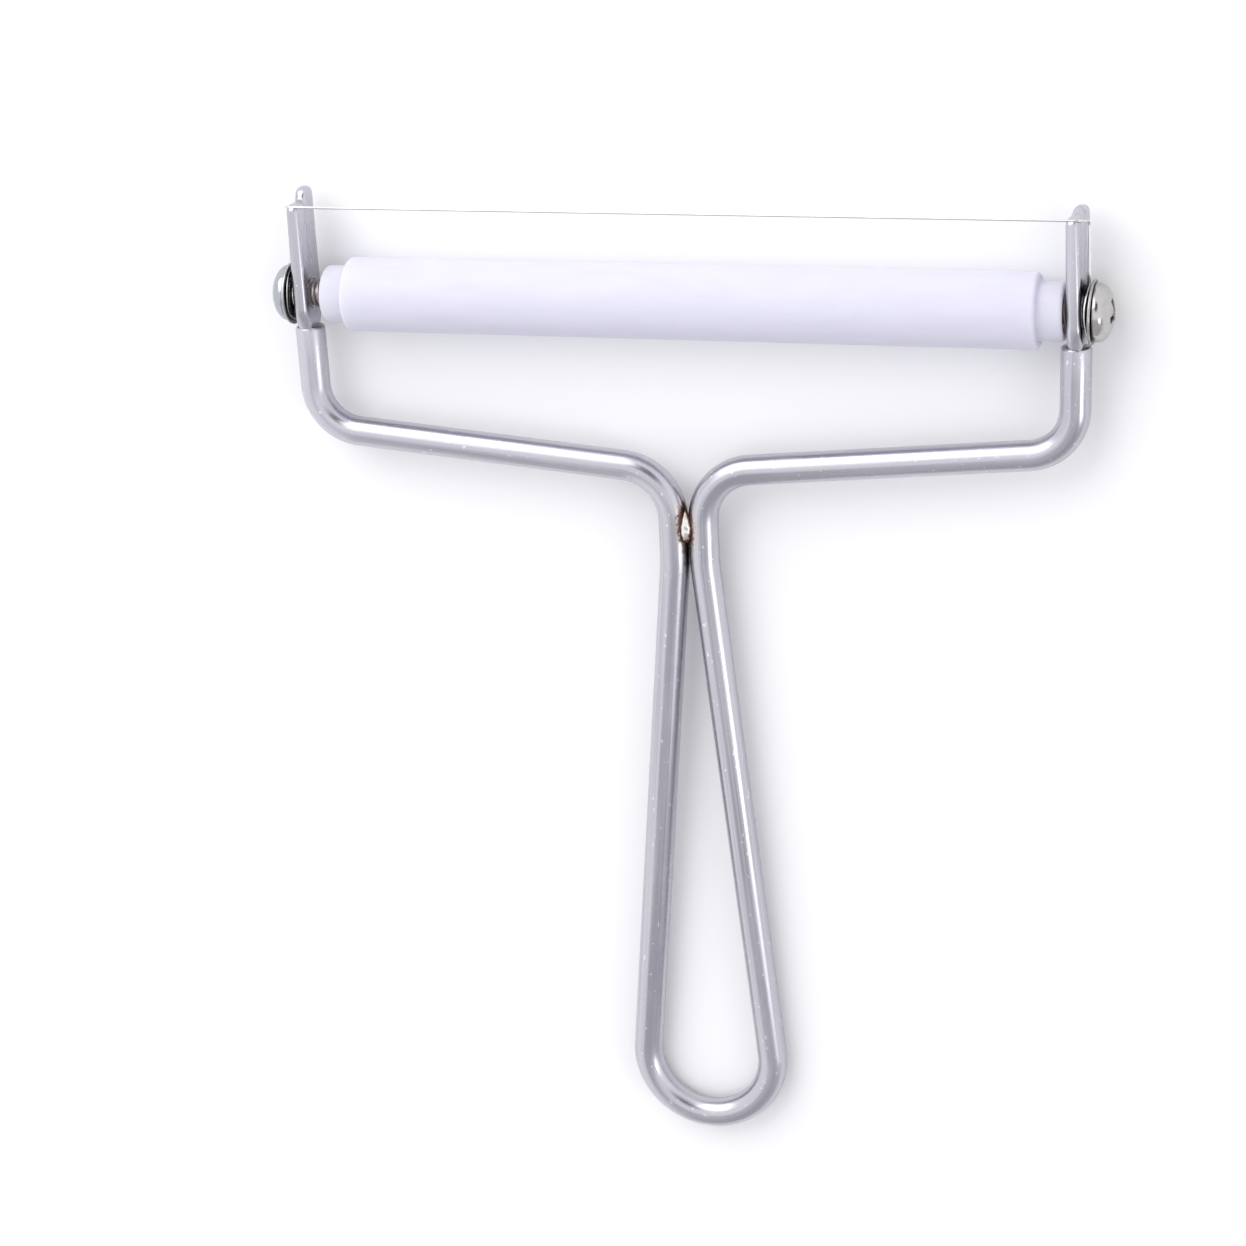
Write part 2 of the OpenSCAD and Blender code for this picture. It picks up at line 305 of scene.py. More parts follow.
def finish_piece(bm, name, finish, body, node, crease=38):
    bm.transform(LAY_DOWN)
    outwards(bm)
    open_edges = sum(1 for edge in bm.edges if not edge.is_manifold)
    volume = bm.calc_volume(signed=True) / MM ** 3
    mesh = bpy.data.meshes.new(name)
    bm.to_mesh(mesh)
    bm.free()
    mesh.shade_smooth()
    mesh.set_sharp_from_angle(angle=math.radians(crease))
    mesh.materials.append(finish)
    piece = bpy.data.objects.new(name, mesh)
    scene.collection.objects.link(piece)
    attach(piece, body)
    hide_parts(node)
    print(f"{name}: {len(mesh.polygons)} faces, {open_edges} open edges, {volume:.1f} mm3")


def combined(bm, others, operation):
    made = []
    for part in [bm, *others]:
        outwards(part)
        mesh = bpy.data.meshes.new("bench")
        part.to_mesh(mesh)
        part.free()
        made.append(bpy.data.objects.new("bench", mesh))
        scene.collection.objects.link(made[-1])
    for other in made[1:]:
        cut = made[0].modifiers.new("cut", "BOOLEAN")
        cut.operation, cut.solver, cut.object = operation, "EXACT", other
    result = bmesh.new()
    result.from_object(made[0], bpy.context.evaluated_depsgraph_get())
    for bench in made:
        bpy.data.objects.remove(bench)
    return result


def chain(bm, profile):
    """Points at x along the axis and r from it, in millimetres, with an edge from each to the next."""
    points = [bm.verts.new((x * MM, r * MM, 0)) for x, r in profile]
    for a, b in zip(points, points[1:]):
        bm.edges.new((a, b))
    return points


def round_corner(bm, vert, radius, segments):
    bmesh.ops.bevel(bm, geom=[vert], offset=radius * MM, segments=segments, affect="VERTICES",
                    profile=0.5, material=-1, offset_type="OFFSET")


def turned(profile, steps=96, rounding=()):
    bm = bmesh.new()
    points = chain(bm, profile)
    for index, radius in rounding:
        round_corner(bm, points[index], radius, 5)
    bmesh.ops.spin(bm, geom=bm.verts[:] + bm.edges[:], cent=(0, 0, 0), axis=(1, 0, 0), dvec=(0, 0, 0),
                   angle=math.tau, steps=steps, use_merge=True, use_duplicate=False)
    bmesh.ops.remove_doubles(bm, verts=bm.verts, dist=0.001 * MM)
    return bm


print("helpers ready")

# %% [markdown]
# ## The drawn rod's finish
#
# Stainless rod is pulled through a die, which leaves fine lines along its length, and a workshop adds
# small nicks. The lines have to follow every bend, so they can't read the plain Object coordinates: each
# point of the rod carries `bar_line`, the place that it had while the rod was still straight. Noise is
# stretched along that line. The weld's heat left straw and brown tints, which are measured from the bead.
# The groove where the two rods meet, above and below the bead, gets painted shade.

# %% Mix the drawn steel
bead_low, bead_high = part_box("neck_weld")
bead_middle = (bead_low + bead_high) / 2


def around_weld(finish, reach):
    """Distance from the weld, where 1 is the edge of an egg with these half sizes in millimetres."""
    moved = finish.vector_math("SUBTRACT", finish.place(), bead_middle)
    return finish.vector_math("LENGTH", finish.vector_math("DIVIDE", moved, Vector(reach) * MM))


def drawn_steel():
    steel = Finish("drawn_stainless_rod", (0.60, 0.60, 0.635), 1.0, 0.2)
    line = steel.bar_line()
    draw_lines = steel.noise(steel.stretched(line, (5200, 5200, 55)), 3.0, 0.6)
    soft_bands = steel.noise(steel.stretched(line, (900, 900, 18), (3, 7, 1)), 2.0)
    handling = steel.noise(steel.stretched(line, (260, 260, 120), (9, 2, 4)), 3.0)
    nicks = steel.ranged(steel.noise(steel.stretched(line, (1500, 1500, 900), (1, 5, 8)), 1.0),
                         0.70, 0.76, 0.0, 1.0)
    die_marks = steel.noise(steel.stretched(line, (2600, 2600, 9), (5, 5, 2)), 2.0)
    tone = steel.mixed(steel.ranged(soft_bands, 0.3, 0.7, 0.0, 1.0),
                       (0.46, 0.455, 0.50), (0.58, 0.575, 0.62))
    tone = steel.mixed(steel.ranged(die_marks, 0.60, 0.72, 0.0, 0.45), tone, (0.30, 0.30, 0.33))
    tone = steel.mixed(nicks, tone, (0.74, 0.74, 0.77))

    ragged = steel.ranged(steel.noise(steel.stretched(line, (1900, 1900, 1500)), 3.0, 0.65),
                          0.3, 0.7, -0.22, 0.22)
    heat = steel.sum(around_weld(steel, (1.85, 4.3, 2.6)), ragged)
    tone = steel.mixed(steel.ranged(heat, 1.35, 0.95, 0.0, 0.55), tone, (0.52, 0.46, 0.40))
    tone = steel.mixed(steel.ranged(heat, 0.92, 0.72, 0.0, 0.95), tone, (0.17, 0.095, 0.07))
    # Painted shade: the groove where the two rods meet, above and below the weld, is painted dark.
    groove_shade = steel.sum(around_weld(steel, (0.9, 11, 3.4)), ragged)
    tone = steel.mixed(steel.ranged(groove_shade, 1.0, 0.65, 0.0, 0.8), tone, (0.12, 0.09, 0.08))

    rough = steel.sum(steel.ranged(soft_bands, 0.25, 0.75, 0.20, 0.30),
                      steel.ranged(handling, 0.45, 0.8, 0.0, 0.12))
    rough = steel.sum(rough, steel.ranged(heat, 1.0, 0.7, 0.0, 0.3))
    fine = steel.bump(draw_lines, 0.30, 0.014)
    steel.wear(tone, rough, steel.bump(nicks, 0.25, 0.02, after=fine))
    return steel.material


rod_finish = drawn_steel()
print("drawn steel:", len(rod_finish.node_tree.nodes), "nodes")

# %% [markdown]
# ## Bending the rod
#
# A bending machine knows three moves: feed the bar, roll it and bend it. The same three moves make the
# mesh. The bar is a ring of edges; each feed or bend extrudes that ring and moves the new one. Half of
# the rod is bent, from the middle of the handle's round end up to the post, and mirrored. A curve with a
# round bevel would give the same shape, but not the straight-bar coordinates that the finish needs.

# %% Define the bending machine
def start_bar(bm, radius, sides, place):
    """A ring of edges square to place's x axis."""
    line = bm.verts.layers.float_vector.get("bar_line") or bm.verts.layers.float_vector.new("bar_line")
    made = bmesh.ops.create_circle(bm, cap_ends=False, segments=sides, radius=radius,
                                   matrix=Matrix.Rotation(math.pi / 2, 4, "Y"))
    for vert in made["verts"]:
        vert[line] = Vector((vert.co.y, vert.co.z, 0))
    bmesh.ops.transform(bm, matrix=place, space=Matrix.Identity(4), verts=made["verts"])
    ring = list({edge for vert in made["verts"] for edge in vert.link_edges})
    return {"bm": bm, "ring": ring, "place": place, "line": line}


def push(bar, move, length):
    made = bmesh.ops.extrude_edge_only(bar["bm"], edges=bar["ring"])["geom"]
    verts = [item for item in made if isinstance(item, bmesh.types.BMVert)]
    bar["ring"] = [item for item in made if isinstance(item, bmesh.types.BMEdge) and item.is_boundary]
    bmesh.ops.transform(bar["bm"], matrix=move, space=Matrix.Identity(4), verts=verts)
    bar["place"] = move @ bar["place"]
    for vert in verts:
        vert[bar["line"]] = vert[bar["line"]] + Vector((0, 0, length))


def feed(bar, length, steps=1):
    for _ in range(steps):
        push(bar, Matrix.Translation(bar["place"].col[0].to_3d() * length / steps), length / steps)


def roll_to(bar, side):
    """Turns the bar about its own line until its left side faces the way that side points."""
    place = bar["place"]
    heading = place.col[0].to_3d()
    left = (side - heading * side.dot(heading)).normalized()
    turned_place = Matrix((heading, left, heading.cross(left))).transposed().to_4x4()
    bar["place"] = Matrix.Translation(place.translation) @ turned_place


def bend(bar, radius, degrees, steps=16):
    """Bends the bar to its left, or to its right where degrees is below 0."""
    side = 1 if degrees > 0 else -1
    angle = math.radians(degrees) / steps
    for _ in range(steps):
        place = bar["place"]
        centre = place @ Vector((0, side * radius, 0))
        move = (Matrix.Translation(centre) @ Matrix.Rotation(angle, 4, place.col[2].to_3d())
                @ Matrix.Translation(-centre))
        push(bar, move, radius * abs(angle))


def squeeze(bar, length, share):
    """Feeds the bar a little way while it gets thinner."""
    place = bar["place"]
    shrink = Matrix.Scale(share, 4, place.col[1].to_3d()) @ Matrix.Scale(share, 4, place.col[2].to_3d())
    about = Matrix.Translation(place.translation) @ shrink @ Matrix.Translation(-place.translation)
    kept = place.copy()
    push(bar, Matrix.Translation(place.col[0].to_3d() * length) @ about, length)
    bar["place"] = Matrix.Translation(kept.col[0].to_3d() * length) @ kept


def close_end(bar):
    bmesh.ops.contextual_create(bar["bm"], geom=bar["ring"])


print("bending machine ready")

# %% [markdown]
# The numbers below are the ones on a maker's bending sheet: where the rod's middle line turns, and how
# tightly. Each straight is what is left between two corners once both bends have taken their share.

# %% Bend half of the rod and mirror it
POST_X = 64.5 * MM
NECK_X = 2.55 * MM
POST_DROP = 22.9 * MM
POST_LEAN = math.radians(1.2)
BRANCH_FALL = math.radians(5.2)
CORNER_R, NECK_R, SPLAY_R = 8 * MM, 9 * MM, 30 * MM
HANDLE_SPLAY = math.radians(5.5)
PRESS_DROP = 5.3 * MM
PARTING_Y = -44 * MM
PRESSED_FROM = PRESS_DROP + 0.75 * MM
BENT_R = ROD_R - 0.01 * MM    # bending draws the rod a little thinner

corner = Vector((POST_X - POST_DROP * math.tan(POST_LEAN), -POST_DROP))
neck = Vector((NECK_X, corner.y - (corner.x - NECK_X) * math.tan(BRANCH_FALL)))
parting = Vector((NECK_X, PARTING_Y))
loop_r = ((HANDLE_REACH + parting.y) * math.tan(HANDLE_SPLAY) + NECK_X) / (
    1 / math.cos(HANDLE_SPLAY) + math.tan(HANDLE_SPLAY))
loop_side = Vector((loop_r * math.cos(HANDLE_SPLAY), loop_r * (1 + math.sin(HANDLE_SPLAY)) - HANDLE_REACH))
neck_turn = math.pi / 2 - BRANCH_FALL
corner_turn = math.pi / 2 - BRANCH_FALL - POST_LEAN


def share(radius, turn):
    """How much of a straight a bend uses up on each side of its corner."""
    return radius * math.tan(turn / 2)


def bent_half():
    bm = bmesh.new()
    bar = start_bar(bm, BENT_R, 40, Matrix.Translation((0, -HANDLE_REACH, 0)))
    bend(bar, loop_r, 90 + math.degrees(HANDLE_SPLAY), 26)
    feed(bar, (parting - loop_side).length - share(SPLAY_R, HANDLE_SPLAY), 6)
    bend(bar, SPLAY_R, -math.degrees(HANDLE_SPLAY), 5)
    feed(bar, neck.y - parting.y - share(SPLAY_R, HANDLE_SPLAY) - share(NECK_R, neck_turn), 2)
    bend(bar, NECK_R, -math.degrees(neck_turn), 20)
    feed(bar, (corner - neck).length - share(NECK_R, neck_turn) - share(CORNER_R, corner_turn), 4)
    bend(bar, CORNER_R, math.degrees(corner_turn), 20)
    feed(bar, (-PRESSED_FROM - bar["place"].translation.y) / math.cos(POST_LEAN), 2)
    for length, thinner in ((0.26, 0.985), (0.20, 0.955), (0.14, 0.91), (0.09, 0.85), (0.05, 0.74)):
        squeeze(bar, length * MM, thinner)
    close_end(bar)
    print("post ends at, mm:", [round(c / MM, 2) for c in bar["place"].translation])
    return bm, bar["place"].translation.copy()


rod_bm, post_end = bent_half()
rod_line = rod_bm.verts.layers.float_vector["bar_line"]
tip_at = max(vert[rod_line].z for vert in rod_bm.verts)
bmesh.ops.mirror(rod_bm, geom=rod_bm.verts[:] + rod_bm.edges[:] + rod_bm.faces[:], axis="X",
                 merge_dist=0.001 * MM, matrix=Matrix.Identity(4), mirror_u=False, mirror_v=False)
for vert in rod_bm.verts:
    if vert.co.x < 0:
        vert[rod_line].z *= -1
print("rod:", len(rod_bm.faces), "faces, length, mm:", round(2 * tip_at / MM, 1))

# %% [markdown]
# ## The pressed tips
#
# Each end of the rod is squeezed flat in a press, so it gets wider as it gets thinner, and its rim stays as
# round as the rod was. The flat end is then cut to an outline: a ledge in front that carries the wire, and
# a taller round tongue behind. The outline is a face with few corners, whose corners are rounded by a
# vertex bevel; it is extruded to the plate's thickness, its rim is bevelled almost to a half circle, and
# its inner face is drawn in towards the top, where the press bit harder. No corner may be tighter than
# the rim's bevel, and the tongue's two corners may not use up its whole top edge, or the bevel would fold
# over. The right tongue came out lower than the left one and a few degrees askew. A drill makes the
# screw's hole, a file the wire's notch.

# %% Press the tips and join them to the rod
TIP_T, TIP_W, RIM_R = 2.5 * MM, 7.8 * MM, 1.0 * MM
LEDGE_Y, TONGUE_Y, TONGUE_W = 15.6 * MM, 17.58 * MM, 3.5 * MM
TIP_ROOT, BITE_FROM, BITE_OVER, BITE_SHARE = 4.2 * MM, 4 * MM, 11 * MM, 0.12
RIGHT_LOWER, RIGHT_ASKEW = 1.1 * MM, 6
WIRE_R, SLACK = 0.225 * MM, 0.03 * MM
WIRE_Y, WIRE_Z = 15.195 * MM, 3.45 * MM
THREAD_R = 2.45 * MM


def tip_plate(top, slope, front_round, askew):
    """A right-hand tip. Its tongue ends at top, leans back by slope and is turned by askew degrees."""
    bm = bmesh.new()
    half, root = TIP_W / 2, TIP_ROOT / 2
    step_z = TONGUE_W - half
    outline = [(-PRESS_DROP - root / 2, -root, 1.2), (-PRESS_DROP + root, -half, 1.2), (top, -half, 1.3),
               (top, step_z - slope, front_round), (LEDGE_Y, step_z + slope, 0.5), (LEDGE_Y, half, 1.2),
               (-PRESS_DROP + root, half, 1.2), (-PRESS_DROP - root / 2, root, 1.2)]
    corners = [bm.verts.new((POST_X - TIP_T / 2, y, z)) for y, z, _ in outline]
    bm.faces.new(corners)
    for vert, (_, _, radius) in zip(corners, outline):
        round_corner(bm, vert, radius, 6)
    made = bmesh.ops.extrude_face_region(bm, geom=bm.faces[:])["geom"]
    bmesh.ops.translate(bm, vec=(TIP_T, 0, 0), verts=[v for v in made if isinstance(v, bmesh.types.BMVert)])
    rim = [edge for edge in bm.edges if abs(edge.verts[0].co.x - edge.verts[1].co.x) < 0.01 * MM]
    bmesh.ops.bevel(bm, geom=rim, offset=RIM_R, segments=7, affect="EDGES", profile=0.5,
                    material=-1, offset_type="OFFSET", clamp_overlap=False)
    outer_face = POST_X + TIP_T / 2
    post = Vector((POST_X, 0, 0))
    for vert in bm.verts:
        bite = min(max((vert.co.y - BITE_FROM) / BITE_OVER, 0), 1)
        vert.co.x = outer_face - (outer_face - vert.co.x) * (1 - BITE_SHARE * bite)
        vert.co = post + Matrix.Rotation(-math.radians(askew) * bite, 3, "Y") @ (vert.co - post)
    return bm


def drill(radius, length, middle):
    bm = bmesh.new()
    bmesh.ops.create_cone(bm, cap_ends=True, segments=48, radius1=radius, radius2=radius, depth=length,
                          matrix=Matrix.Translation(middle) @ Matrix.Rotation(math.pi / 2, 4, "Y"))
    return bm


def block(middle, size):
    bm = bmesh.new()
    bmesh.ops.create_cube(bm, size=1, matrix=Matrix.Translation(middle) @ Matrix.Diagonal((*size, 1)))
    return bm


def flipped(bm):
    """A left-hand copy of a right-hand shape."""
    copy = bm.copy()
    copy.transform(Matrix.Scale(-1, 4, (1, 0, 0)))
    return copy


hole = drill(THREAD_R + 0.05 * MM, 2 * TIP_T, Vector((POST_X, 0, 0)))
notch_foot = drill(WIRE_R + SLACK, 2 * TIP_T, Vector((POST_X, WIRE_Y, WIRE_Z)))
notch_mouth = block(Vector((POST_X, WIRE_Y + MM / 2, WIRE_Z)), (2 * TIP_T, MM, 2 * (WIRE_R + SLACK)))
cuts = [hole, notch_foot, notch_mouth]
left_tip = combined(tip_plate(TONGUE_Y, 0.2 * MM, 1.4, 0), [cut.copy() for cut in cuts], "DIFFERENCE")
right_tip = combined(tip_plate(TONGUE_Y - RIGHT_LOWER, 0.6 * MM, 0.6, RIGHT_ASKEW), cuts, "DIFFERENCE")
rod_bm = combined(rod_bm, [flipped(left_tip), right_tip], "UNION")

# The tips get their straight-bar coordinates from where they are, because a Boolean leaves them blank.
rod_line = rod_bm.verts.layers.float_vector["bar_line"]
for vert in rod_bm.verts:
    side = 1 if vert.co.x > 0 else -1
    if abs(vert.co.x) > 60 * MM and vert.co.y > post_end.y - 1.5 * MM:
        along = side * (tip_at + vert.co.y - post_end.y)
        vert[rod_line] = Vector((POST_X - abs(vert.co.x), vert.co.z, along))
finish_piece(rod_bm, "bent_rod", rod_finish, "frame", "rod_frame")

# %% [markdown]
# ## The tack weld
#
# One small weld holds the two rods together at the neck. Molten steel ran down the groove and froze as a
# drop: pointed at the top, widest near the bottom, with faint ripples. A sphere is pulled to that shape.
# Its rim is brown with oxide, and its middle stayed bright.

# %% Mix the weld's finish and pull the bead to shape
def weld_steel():
    weld = Finish("tack_weld_steel", (0.62, 0.56, 0.50), 1.0, 0.28)
    place = weld.place()
    ragged = weld.ranged(weld.noise(weld.stretched(place, (2400, 1500, 2400)), 3.0, 0.6),
                         0.3, 0.7, -0.2, 0.2)
    rim = weld.sum(around_weld(weld, (1.15, 2.9, 5)), ragged)
    tone = weld.mixed(weld.ranged(rim, 0.5, 0.72, 0.0, 0.6), (0.80, 0.77, 0.73), (0.45, 0.33, 0.24))
    tone = weld.mixed(weld.ranged(rim, 0.72, 0.86, 0.0, 1.0), tone, (0.13, 0.06, 0.035))
    grains = weld.noise(weld.stretched(place, (5200, 5200, 5200)), 2.0)
    weld.wear(tone, weld.ranged(rim, 0.5, 0.9, 0.16, 0.55), weld.bump(grains, 0.25, 0.03))
    return weld.material


def weld_bead():
    bm = bmesh.new()
    bmesh.ops.create_uvsphere(bm, u_segments=48, v_segments=40, radius=1,
                              matrix=Matrix.Rotation(math.pi / 2, 4, "X"))
    half_length = (bead_high.y - bead_low.y) / 2
    for vert in bm.verts:
        along = vert.co.y
        drop = 0.60 - 0.34 * along - 0.10 * along * along
        ripple = 1 + 0.035 * math.sin(13 * along + 2.2 * abs(vert.co.x))
        vert.co = Vector((vert.co.x * 1.55 * drop * ripple * MM, along * half_length,
                          vert.co.z * (0.62 + 0.6 * drop) * ripple * MM))
    middle = LAY_DOWN.inverted() @ bead_middle
    bmesh.ops.translate(bm, vec=(0, middle.y, middle.z), verts=bm.verts)
    return bm


finish_piece(weld_bead(), "tack_weld_bead", weld_steel(), "frame", "neck_weld", crease=80)

# %% [markdown]
# ## The roller
#
# The roller is turned from white nylon bar: a long body with a thinner spigot at each end, and a bore in
# each spigot for its screw. One profile, spun about the axis, gives all of it. The tool that turned it
# left rings that are too fine to see singly but make the white look satin, so the bump is noise stretched
# round the axis. Light also goes a few millimetres into nylon, which evens out its shading. It picks up
# faint grey scuffs. The mouths of the bores get a brown painted shade.

# %% Turn the roller
def white_nylon():
    nylon = Finish("satin_white_nylon", (0.80, 0.79, 0.86), 0.0, 0.5)
    nylon.shader.inputs["Specular IOR Level"].default_value = 0.3
    nylon.shader.inputs["Subsurface Weight"].default_value = 0.6
    nylon.shader.inputs["Subsurface Radius"].default_value = (1, 1, 1)
    nylon.shader.inputs["Subsurface Scale"].default_value = 5 * MM
    place = nylon.place()
    rings = nylon.noise(nylon.stretched(place, (5200, 25, 25)), 3.0, 0.6)
    scuffs = nylon.noise(nylon.stretched(place, (90, 420, 420), (4, 1, 6)), 4.0, 0.6)
    grain = nylon.noise(nylon.stretched(place, (2600, 2600, 2600)), 2.0)
    tone = nylon.mixed(nylon.ranged(scuffs, 0.42, 0.72, 0.0, 1.0),
                       (0.675, 0.665, 0.76), (0.65, 0.64, 0.735))
    # Painted shade: the mouths of the bores, within 3.75 mm of the axis, are painted brown.
    bore_mouth_shade = nylon.product(nylon.ranged(nylon.from_axis(), 3.75 * MM, 3.2 * MM, 0.0, 0.85),
                            nylon.ranged(scuffs, 0.3, 0.7, 0.7, 1.0))
    tone = nylon.mixed(bore_mouth_shade, tone, (0.42, 0.31, 0.26))
    rough = nylon.sum(nylon.ranged(scuffs, 0.35, 0.7, 0.46, 0.6),
                      nylon.ranged(rings, 0.3, 0.7, -0.04, 0.04))
    soft = nylon.bump(rings, 0.18, 0.01)
    nylon.wear(tone, rough, nylon.bump(grain, 0.06, 0.01, after=soft))
    return nylon.material


def roller_shape():
    left, right = roller_low.x / MM, roller_high.x / MM
    body_r, spigot_r, bore_r, mouth_r = roller_r / MM, 4.7, 2.55, 3.6
    spigot, bore, mouth = 4.1, 22, mouth_r - bore_r
    profile = [(left + bore + bore_r, 0), (left + bore, bore_r), (left + mouth, bore_r), (left, mouth_r),
               (left, spigot_r), (left + spigot, spigot_r), (left + spigot, body_r),
               (right - spigot, body_r), (right - spigot, spigot_r), (right, spigot_r),
               (right, mouth_r), (right - mouth, bore_r), (right - bore, bore_r),
               (right - bore - bore_r, 0)]
    rounding = [(3, 0.2), (4, 0.55), (5, 0.25), (6, 0.6), (7, 0.6), (8, 0.25), (9, 0.55), (10, 0.2)]
    return turned(profile, 128, rounding)


finish_piece(roller_shape(), "turned_roller", white_nylon(), "gauge_roller", "roller")

# %% [markdown]
# ## The screws
#
# Both screws are common machine screws with a pan head and a cross recess. The thread is a true helix: a
# profile one pitch long is spun round the axis while it moves along, and the turns are merged. The head
# is turned like the roller and punched with a tapered cross before it is joined to the thread. The left
# screw is the right one turned round, not mirrored, because both threads are right-handed.

# %% Cut the thread, turn the head and punch the recess
PITCH, ROOT_R = 0.8, 1.97
SCREW_LENGTH = 16
HEAD_R, HEAD_H, RIM_H = 4.7, 3.0, 0.5
WING_LONG, WING_THICK, WING_UNDER = 5.4, 1.2, 0.9


def nickel(name, bright, seat):
    """Plated steel with stains, brown grime and painted shade in the thread roots, and painted shade in the
    recess and round the head's foot.
    """
    screw = Finish(name, bright, 1.0, 0.16)
    place = screw.place()
    stains = screw.noise(screw.stretched(place, (700, 900, 900)), 4.0, 0.6)
    radius = screw.from_axis()
    outward = screw.calc("ABSOLUTE", screw.node("ShaderNodeSeparateXYZ", {0: place}).outputs["X"])
    on_head = screw.ranged(outward, seat - 0.1 * MM, seat, 0.0, 1.0)

    # How far a point lies below the dome: 0 on the dome itself and more inside the recess.
    share_out = screw.calc("POWER", screw.calc("DIVIDE", radius, HEAD_R * MM), 2)
    rise = screw.calc("POWER", screw.calc("MAXIMUM", screw.calc("SUBTRACT", 1, share_out), 0), 0.5)
    dome = screw.sum(screw.product(rise, (HEAD_H - RIM_H) * MM), seat + RIM_H * MM)
    depth = screw.calc("SUBTRACT", dome, outward)
    # Painted shade: the recess is painted nearly black, darker the deeper it goes.
    recess_shade = screw.product(screw.ranged(depth, 0.06 * MM, 0.7 * MM, 0.0, 0.95),
                         screw.ranged(radius, 3.4 * MM, 3.0 * MM, 0.0, 1.0))
    # Painted shade: a dark line painted round the foot of the head, where it meets the washer.
    foot = screw.ranged(outward, seat + 0.35 * MM, seat + 0.05 * MM, 0.0, 0.85)

    tone = screw.mixed(screw.ranged(stains, 0.5, 0.75, 0.0, 0.35), bright, (0.34, 0.29, 0.26))
    # Brown grime and painted shade: darker and browner towards the thread roots.
    thread = screw.mixed(screw.ranged(radius, 2.42 * MM, 2.0 * MM, 0.0, 0.8), tone, (0.34, 0.26, 0.21))
    head = screw.mixed(screw.calc("MAXIMUM", recess_shade, foot), tone, (0.06, 0.055, 0.055))
    tone = screw.mixed(on_head, thread, head)
    scratches = screw.noise(screw.stretched(place, (900, 3600, 3600)), 2.0)
    rough = screw.sum(screw.ranged(stains, 0.3, 0.8, 0.12, 0.26), screw.ranged(recess_shade, 0.3, 1, 0, 0.15))
    screw.wear(tone, rough, screw.bump(scratches, 0.10, 0.01))
    return screw.material


def trimmed(bm, at, facing):
    """Cuts away what lies past a plane square to the x axis, and caps the cut."""
    bmesh.ops.bisect_plane(bm, geom=bm.verts[:] + bm.edges[:] + bm.faces[:], dist=0.0001 * MM,
                           plane_co=(at * MM, 0, 0), plane_no=(facing, 0, 0), clear_outer=True)
    bmesh.ops.holes_fill(bm, edges=[edge for edge in bm.edges if edge.is_boundary and all(
        abs(vert.co.x - at * MM) < 0.001 * MM for vert in edge.verts)], sides=0)


def threaded_rod():
    bm = bmesh.new()
    start, turns, steps = -SCREW_LENGTH - PITCH, 22, 32
    crest_r = THREAD_R / MM
    profile = [(0, crest_r), (0.1, crest_r), (0.36, ROOT_R), (0.54, ROOT_R), (PITCH, crest_r)]
    chain(bm, [(start + x, r) for x, r in profile])
    bmesh.ops.spin(bm, geom=bm.verts[:] + bm.edges[:], cent=(0, 0, 0), axis=(1, 0, 0),
                   dvec=(PITCH * MM / steps, 0, 0), angle=math.tau * turns, steps=steps * turns,
                   use_merge=False, use_duplicate=False)
    bmesh.ops.remove_doubles(bm, verts=bm.verts, dist=0.002 * MM)
    trimmed(bm, -SCREW_LENGTH, -1)
    trimmed(bm, 0.4, 1)
    return bm


def pan_head():
    quarter = [math.pi / 2 * i / 16 for i in range(16, -1, -1)]
    dome = [(RIM_H + (HEAD_H - RIM_H) * math.cos(angle), HEAD_R * math.sin(angle)) for angle in quarter]
    return turned([(0, 0), (0, HEAD_R), *dome], 96, [(1, 0.15)])


def recess_wing(angle):
    middle_x = HEAD_H - WING_UNDER
    bm = block(Vector((middle_x, 0, 0)) * MM, (2 * MM, WING_LONG * MM, WING_THICK * MM))
    foot = [vert for vert in bm.verts if vert.co.x < middle_x * MM]
    bmesh.ops.scale(bm, vec=(1, 0.5, 0.72), verts=foot)
    bm.transform(Matrix.Rotation(math.radians(angle), 4, "X"))
    return bm


def recess_middle():
    bm = bmesh.new()
    along_axis = Matrix.Translation(((HEAD_H - 1.0) * MM, 0, 0)) @ Matrix.Rotation(math.pi / 2, 4, "Y")
    bmesh.ops.create_cone(bm, cap_ends=True, segments=32, radius1=0.55 * MM, radius2=1.25 * MM,
                          depth=2.2 * MM, matrix=along_axis)
    return bm


def pan_screw():
    punched = combined(pan_head(), [recess_wing(20), recess_wing(110), recess_middle()], "DIFFERENCE")
    return combined(punched, [threaded_rod()], "UNION")


def head_seat(node, side):
    """Where the underside of a head lies along x, from the CAD screw's box."""
    low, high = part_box(node)
    return (high.x if side > 0 else -low.x) - HEAD_H * MM


# Both screws are the same kind; the left one's bluer tone is a painted reflection.
for side, hand, bright in ((-1, "left", (0.43, 0.445, 0.47)), (1, "right", (0.52, 0.505, 0.495))):
    seat = head_seat(hand + "_screw", side)
    screw_bm = pan_screw()
    turn_round = Matrix.Rotation(0 if side > 0 else math.pi, 4, "Z")
    screw_bm.transform(turn_round @ Matrix.Translation((seat, 0, 0)))
    finish_piece(screw_bm, hand + "_pan_screw", nickel(hand + "_screw_nickel", bright, seat), "frame",
                 hand + "_screw", crease=32)

# %% [markdown]
# ## The washers
#
# Under each head sit two washers. The flat one is stamped from sheet, which rolls one edge over and
# leaves the other sharp. The thin one next to the tip is a wave spring: a ring whose face rises and falls
# three times a turn and keeps the screw from working loose. The right flat washer has settled at a tilt.
# Their faces between the head and the tip are painted nearly black as shade, and only the edges stay
# bright.

# %% Stamp the washers
HOLE_R, FLAT_T, WAVE_T = 2.65, 0.4, 0.17
RIGHT_LEAN = 2
WAVES, FIRST_WAVE = 3, 0.5
FLAT_R, WAVE_R = [(high.z - low.z) / 2 for low, high in (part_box("left_flat_washer"),
                                                         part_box("left_wave_washer"))]


